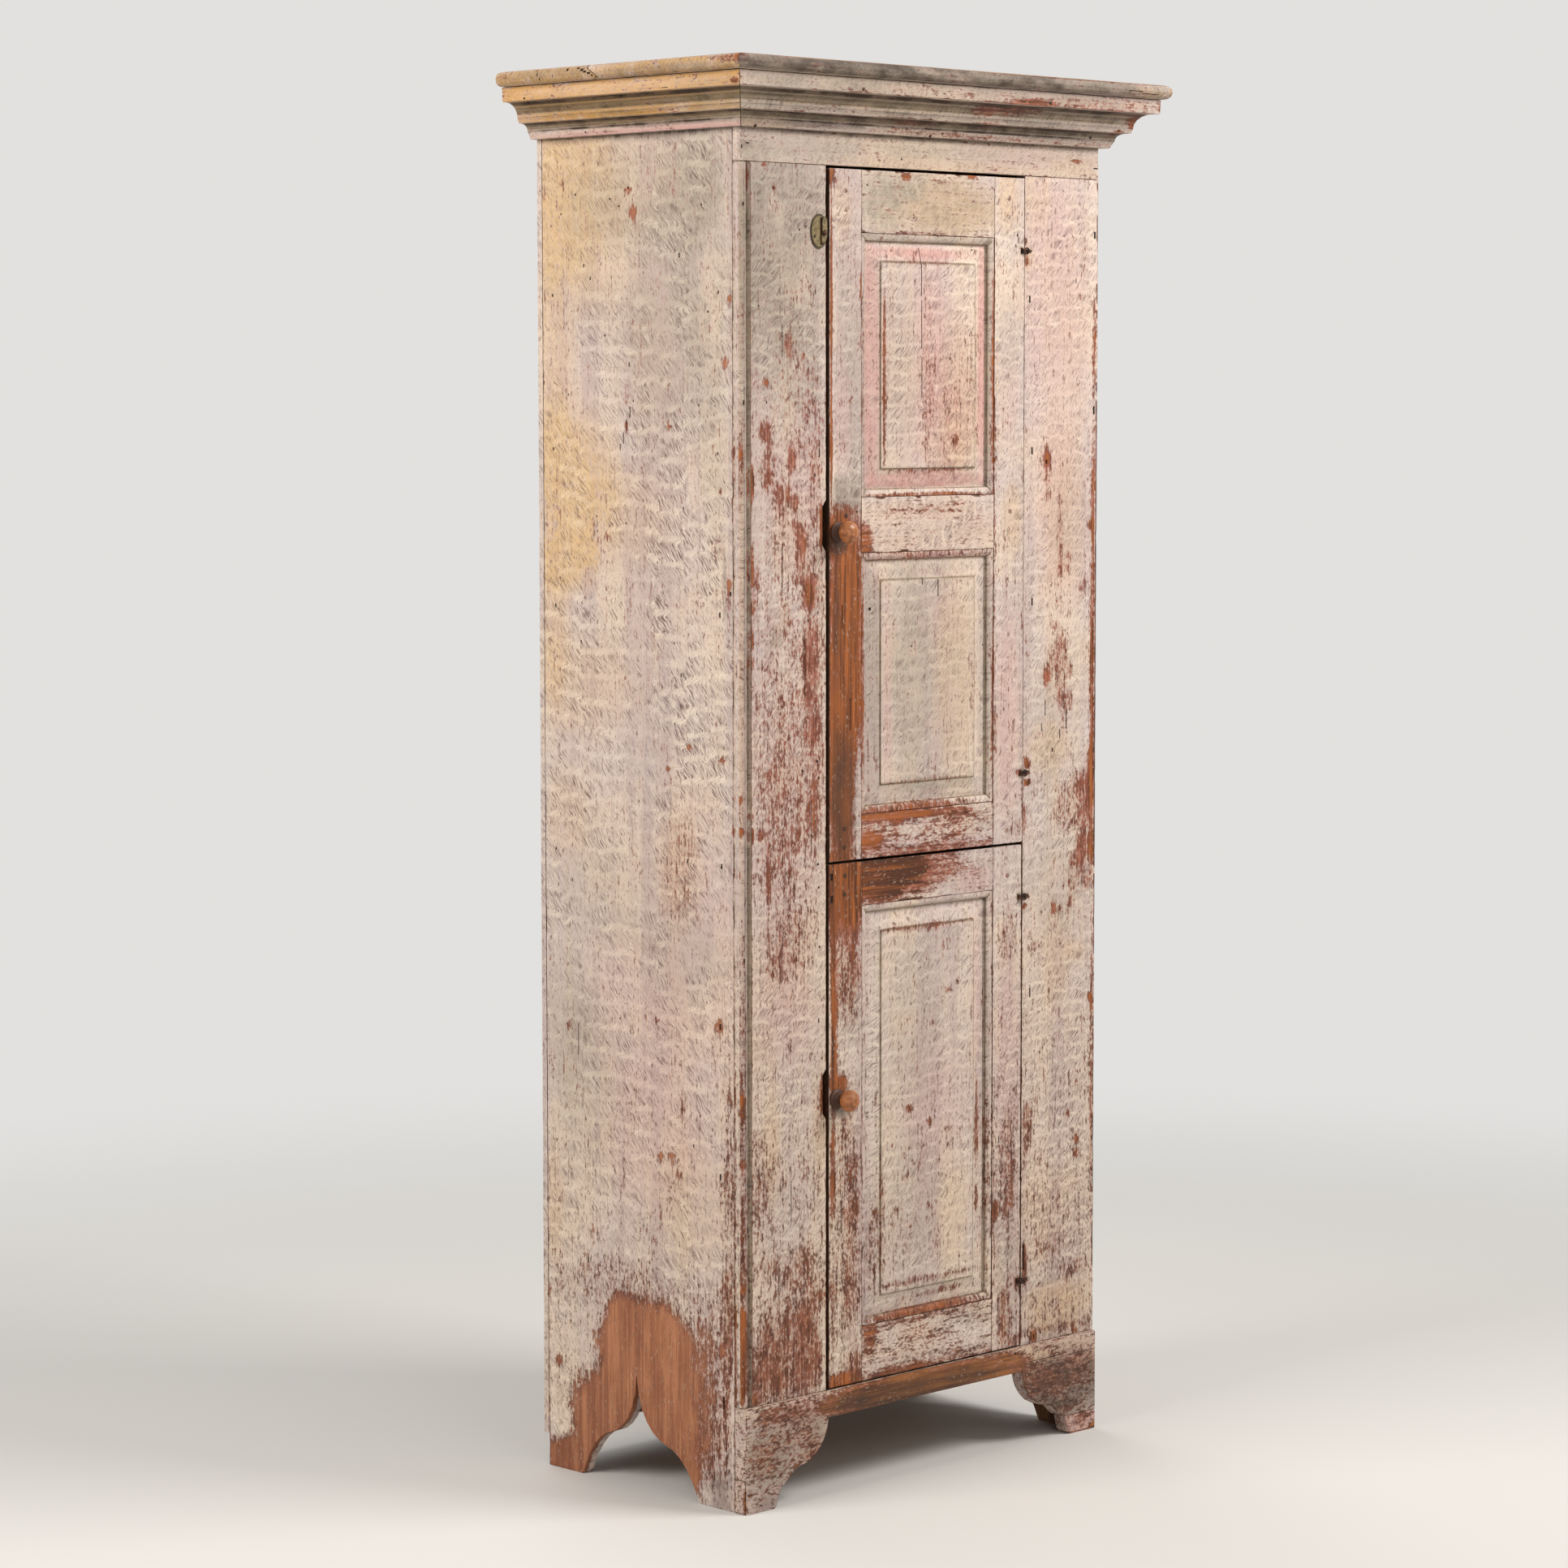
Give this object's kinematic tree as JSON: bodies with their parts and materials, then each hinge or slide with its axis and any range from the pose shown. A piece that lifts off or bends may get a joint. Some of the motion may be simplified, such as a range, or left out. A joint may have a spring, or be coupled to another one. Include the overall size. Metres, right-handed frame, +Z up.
{
  "type": "cupboard",
  "caption": "Tall narrow painted pine cupboard with raised-panel doors above and below, turned knobs on wooden latches, a moulded cornice and cut-out bracket feet.",
  "frame": {"origin": "centre of the bounding box on the floor", "axes": "+Z up, front faces -Y, +X to the right when facing the front"},
  "size_m": [0.847, 0.4704, 1.912],
  "materials": {
    "painted_pine": "old matt oil paint, pinkish cream combed over grey, worn through to a red-brown undercoat and bare pine",
    "bare_pine": "bare aged pine, orange brown, unfinished",
    "iron": "dark wrought iron with rust",
    "dull_brass": "dull brown-green tarnished brass",
    "knob_wood": "hand-polished brown hardwood, satin"
  },
  "bodies": {
    "case": {"side_left": "painted_pine", "side_right": "painted_pine", "back_board_left": "bare_pine", "back_board_middle": "bare_pine", "back_board_right": "bare_pine", "bottom_board": "bare_pine", "middle_board": "bare_pine", "shelf_upper_low": "bare_pine", "shelf_upper_high": "bare_pine", "shelf_lower": "bare_pine", "frieze_board": "painted_pine", "case_stile_left": "painted_pine", "case_stile_right": "painted_pine", "base_board": "painted_pine", "foot_block_right": "painted_pine", "foot_patch_left": "painted_pine", "corner_block_left": "bare_pine", "corner_block_right": "bare_pine", "cornice_front": "painted_pine", "cornice_left": "painted_pine", "cornice_right": "painted_pine", "top_board_front": "painted_pine", "top_board_back": "painted_pine", "keyhole_plate": "dull_brass", "keyhole_rivet": "iron", "keyhole_pin_left": "iron", "keyhole_pin_right": "iron", "upper_hinge_low_case_loop": "iron", "upper_hinge_high_case_loop": "iron", "lower_hinge_low_case_loop": "iron", "lower_hinge_high_case_loop": "iron"},
    "keyhole_cover_body": {"keyhole_cover": "dull_brass"},
    "upper_door": {"upper_door_stile_left": "painted_pine", "upper_door_stile_right": "painted_pine", "upper_door_rail_bottom": "painted_pine", "upper_door_rail_middle": "painted_pine", "upper_door_rail_top": "painted_pine", "upper_panel_low": "painted_pine", "upper_panel_high": "painted_pine", "upper_moulding_low": "painted_pine", "upper_moulding_high": "painted_pine", "upper_hinge_low_door_loop": "iron", "upper_hinge_high_door_loop": "iron"},
    "lower_door": {"lower_door_stile_left": "painted_pine", "lower_door_stile_right": "painted_pine", "lower_door_rail_bottom": "painted_pine", "lower_door_rail_top": "painted_pine", "lower_panel": "painted_pine", "lower_moulding": "painted_pine", "lower_hinge_low_door_loop": "iron", "lower_hinge_high_door_loop": "iron"},
    "upper_latch": {"upper_knob": "knob_wood", "upper_latch_bar": "bare_pine"},
    "lower_latch": {"lower_knob": "knob_wood", "lower_latch_bar": "bare_pine"}
  },
  "joints": [
    {"name": "upper_door_swing", "type": "hinge", "parent": "case", "child": "upper_door", "pos_m": [0.1983, -0.16755, 1.318], "axis": [0, 0, 1], "range_deg": [0, 115]},
    {"name": "lower_door_swing", "type": "hinge", "parent": "case", "child": "lower_door", "pos_m": [0.1983, -0.16755, 0.49975], "axis": [0, 0, 1], "range_deg": [0, 115]},
    {"name": "upper_knob_turn", "type": "hinge", "parent": "upper_door", "child": "upper_latch", "pos_m": [-0.1757, -0.16175, 1.2987], "axis": [0, -1, 0], "range_deg": [0, 90]},
    {"name": "lower_knob_turn", "type": "hinge", "parent": "lower_door", "child": "lower_latch", "pos_m": [-0.1757, -0.16175, 0.53797], "axis": [0, -1, 0], "range_deg": [0, 90]},
    {"name": "keyhole_cover_swing", "type": "hinge", "parent": "case", "child": "keyhole_cover_body", "pos_m": [-0.199, -0.16175, 1.693], "axis": [0, -1, 0], "range_deg": [0, 80]}
  ]
}
